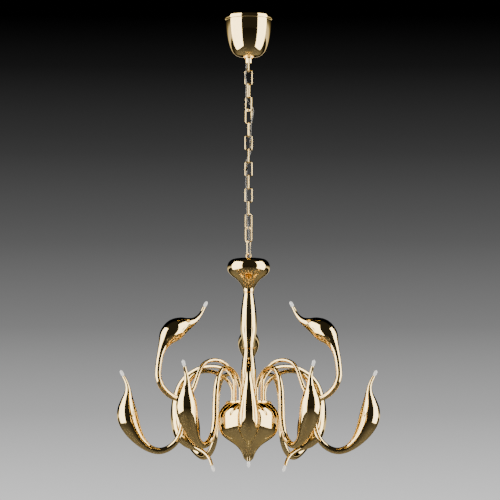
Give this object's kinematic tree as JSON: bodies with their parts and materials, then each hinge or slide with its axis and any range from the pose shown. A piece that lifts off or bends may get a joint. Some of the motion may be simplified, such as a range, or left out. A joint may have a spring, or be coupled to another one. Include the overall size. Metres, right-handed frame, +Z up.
{
  "type": "multi arm chandelier",
  "caption": "Hanging chandelier: ceiling canopy, link chain and turned column with swan-neck arms, each ending in a small capsule bulb.",
  "frame": {"origin": "centre of the canopy on the ceiling plane", "axes": "+Z up into the ceiling, -Y towards the front, +X to the right seen from the front"},
  "size_m": [0.7428, 0.6504, 1.2994],
  "materials": {
    "gold": "mirror-polished gold plate",
    "zinc": "zinc-plated steel",
    "steel_strap": "zinc-plated sheet steel",
    "ceramic": "unglazed steatite ceramic",
    "frosted_glass": "frosted capsule glass",
    "terminal_plastic": "moulded polyamide",
    "potting": "potted black resin case",
    "clear_cable": "clear flexible sheath over tinned cores",
    "core_wire": "silicone-insulated lead wire"
  },
  "bodies": {
    "ceiling_fitting": {"ceiling_strap": "steel_strap", "hanger": "gold", "hanger_nuts": "zinc", "terminal_block": "terminal_plastic", "canopy": "gold", "canopy_ring": "gold", "supply_cable": "clear_cable"},
    "link_01": {"link_01": "gold"},
    "link_02": {"link_02": "gold"},
    "link_03": {"link_03": "gold"},
    "link_04": {"link_04": "gold"},
    "link_05": {"link_05": "gold"},
    "link_06": {"link_06": "gold"},
    "link_07": {"link_07": "gold"},
    "link_08": {"link_08": "gold"},
    "link_09": {"link_09": "gold"},
    "link_10": {"link_10": "gold"},
    "link_11": {"link_11": "gold"},
    "link_12": {"link_12": "gold"},
    "link_13": {"link_13": "gold"},
    "link_14": {"link_14": "gold"},
    "link_15": {"link_15": "gold"},
    "lamp": {"top_loop": "gold", "cap": "gold", "column_rings": "gold", "column_vase": "gold", "column_lower": "gold", "centre_rod": "zinc", "rod_nuts": "zinc", "arm_plate": "gold", "bowl": "gold", "end_knob": "gold", "arm_nuts": "zinc", "lamp_sockets": "ceramic", "transformer": "potting", "arm_wiring": "core_wire", "middle_arm_01": "gold", "lower_arm_02": "gold", "middle_arm_03": "gold", "upper_arm_04": "gold", "middle_arm_05": "gold", "lower_arm_06": "gold", "middle_arm_07": "gold", "upper_arm_08": "gold", "middle_arm_09": "gold", "lower_arm_10": "gold", "middle_arm_11": "gold", "upper_arm_12": "gold"},
    "bulb_01": {"bulb_01": "frosted_glass"},
    "bulb_02": {"bulb_02": "frosted_glass"},
    "bulb_03": {"bulb_03": "frosted_glass"},
    "bulb_04": {"bulb_04": "frosted_glass"},
    "bulb_05": {"bulb_05": "frosted_glass"},
    "bulb_06": {"bulb_06": "frosted_glass"},
    "bulb_07": {"bulb_07": "frosted_glass"},
    "bulb_08": {"bulb_08": "frosted_glass"},
    "bulb_09": {"bulb_09": "frosted_glass"},
    "bulb_10": {"bulb_10": "frosted_glass"},
    "bulb_11": {"bulb_11": "frosted_glass"},
    "bulb_12": {"bulb_12": "frosted_glass"}
  },
  "joints": [
    {"name": "link_01_swing", "type": "hinge", "parent": "ceiling_fitting", "child": "link_01", "pos_m": [0, 0, -0.1231], "axis": [1, 0, 0], "range_deg": [-20, 20], "deforming": ["supply_cable"]},
    {"name": "link_02_swing", "type": "hinge", "parent": "link_01", "child": "link_02", "pos_m": [0, 0, -0.1603], "axis": [0, 1, 0], "range_deg": [-20, 20]},
    {"name": "link_03_swing", "type": "hinge", "parent": "link_02", "child": "link_03", "pos_m": [0, 0, -0.1979], "axis": [-1, 0, 0], "range_deg": [-20, 20]},
    {"name": "link_04_swing", "type": "hinge", "parent": "link_03", "child": "link_04", "pos_m": [0, 0, -0.2355], "axis": [-0.2588, -0.9659, 0], "range_deg": [-20, 20]},
    {"name": "link_05_swing", "type": "hinge", "parent": "link_04", "child": "link_05", "pos_m": [0, 0, -0.2731], "axis": [0.8192, -0.5736, 0], "range_deg": [-20, 20]},
    {"name": "link_06_swing", "type": "hinge", "parent": "link_05", "child": "link_06", "pos_m": [0, 0, -0.3107], "axis": [0.866, 0.5, 0], "range_deg": [-20, 20]},
    {"name": "link_07_swing", "type": "hinge", "parent": "link_06", "child": "link_07", "pos_m": [0, 0, -0.3483], "axis": [0.0872, -0.9962, 0], "range_deg": [-20, 20]},
    {"name": "link_08_swing", "type": "hinge", "parent": "link_07", "child": "link_08", "pos_m": [0, 0, -0.3859], "axis": [-1, 0, 0], "range_deg": [-20, 20]},
    {"name": "link_09_swing", "type": "hinge", "parent": "link_08", "child": "link_09", "pos_m": [0, 0, -0.4235], "axis": [0, 1, 0], "range_deg": [-20, 20]},
    {"name": "link_10_swing", "type": "hinge", "parent": "link_09", "child": "link_10", "pos_m": [0, 0, -0.4611], "axis": [1, 0, 0], "range_deg": [-20, 20]},
    {"name": "link_11_swing", "type": "hinge", "parent": "link_10", "child": "link_11", "pos_m": [0, 0, -0.4987], "axis": [0, -1, 0], "range_deg": [-20, 20]},
    {"name": "link_12_swing", "type": "hinge", "parent": "link_11", "child": "link_12", "pos_m": [0, 0, -0.5363], "axis": [-1, 0, 0], "range_deg": [-20, 20]},
    {"name": "link_13_swing", "type": "hinge", "parent": "link_12", "child": "link_13", "pos_m": [0, 0, -0.5739], "axis": [0, 1, 0], "range_deg": [-20, 20]},
    {"name": "link_14_swing", "type": "hinge", "parent": "link_13", "child": "link_14", "pos_m": [0, 0, -0.6115], "axis": [0.8829, 0.4695, 0], "range_deg": [-20, 20]},
    {"name": "link_15_swing", "type": "hinge", "parent": "link_14", "child": "link_15", "pos_m": [0, 0, -0.6491], "axis": [-0.848, 0.5299, 0], "range_deg": [-20, 20]},
    {"name": "lamp_swing", "type": "hinge", "parent": "link_15", "child": "lamp", "pos_m": [0, 0, -0.6867], "axis": [-0.4226, -0.9063, 0], "range_deg": [-20, 20]},
    {"name": "bulb_01_pull", "type": "slide", "parent": "lamp", "child": "bulb_01", "axis": [0.4472, 0, 0.8944], "range_m": [0, 0.012]},
    {"name": "bulb_02_pull", "type": "slide", "parent": "lamp", "child": "bulb_02", "axis": [-0.3041, -0.1756, -0.9363], "range_m": [0, 0.012]},
    {"name": "bulb_03_pull", "type": "slide", "parent": "lamp", "child": "bulb_03", "axis": [0.2236, 0.3873, 0.8944], "range_m": [0, 0.012]},
    {"name": "bulb_04_pull", "type": "slide", "parent": "lamp", "child": "bulb_04", "axis": [0, -0.4961, 0.8682], "range_m": [0, 0.012]},
    {"name": "bulb_05_pull", "type": "slide", "parent": "lamp", "child": "bulb_05", "axis": [-0.2236, 0.3873, 0.8944], "range_m": [0, 0.012]},
    {"name": "bulb_06_pull", "type": "slide", "parent": "lamp", "child": "bulb_06", "axis": [0.3041, -0.1756, -0.9363], "range_m": [0, 0.012]},
    {"name": "bulb_07_pull", "type": "slide", "parent": "lamp", "child": "bulb_07", "axis": [-0.4472, 0, 0.8944], "range_m": [0, 0.012]},
    {"name": "bulb_08_pull", "type": "slide", "parent": "lamp", "child": "bulb_08", "axis": [0.4297, 0.2481, 0.8682], "range_m": [0, 0.012]},
    {"name": "bulb_09_pull", "type": "slide", "parent": "lamp", "child": "bulb_09", "axis": [-0.2236, -0.3873, 0.8944], "range_m": [0, 0.012]},
    {"name": "bulb_10_pull", "type": "slide", "parent": "lamp", "child": "bulb_10", "axis": [0, 0.3511, -0.9363], "range_m": [0, 0.012]},
    {"name": "bulb_11_pull", "type": "slide", "parent": "lamp", "child": "bulb_11", "axis": [0.2236, -0.3873, 0.8944], "range_m": [0, 0.012]},
    {"name": "bulb_12_pull", "type": "slide", "parent": "lamp", "child": "bulb_12", "axis": [-0.4297, 0.2481, 0.8682], "range_m": [0, 0.012]}
  ]
}
